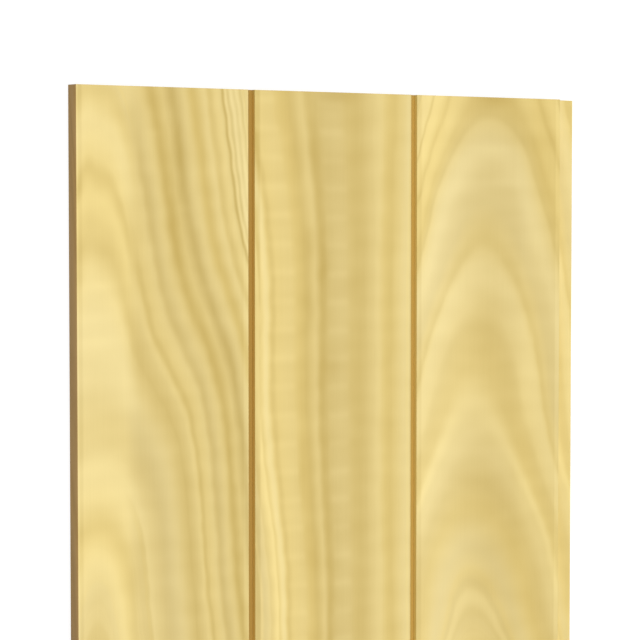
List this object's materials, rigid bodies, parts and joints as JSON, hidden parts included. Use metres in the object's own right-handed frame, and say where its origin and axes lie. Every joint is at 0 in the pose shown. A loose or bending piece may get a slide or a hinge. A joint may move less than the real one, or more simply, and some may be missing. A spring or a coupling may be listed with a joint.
{
  "type": "cladding board",
  "caption": "Flat wooden wall cladding board with narrow milled grooves that show as planks, and half-lapped long edges that overlap the next board.",
  "frame": {"origin": "middle of the plane that the board's back lies on", "axes": "+Z is the normal of the grooved face, +Y runs along the length, +X points from the edge with the overlapping lip to the edge with the tongue"},
  "size_m": [0.312, 2.4, 0.016],
  "materials": {
    "pine": "planed, clear matt"
  },
  "bodies": {
    "root": {"cladding_board": "pine"}
  },
  "joints": []
}
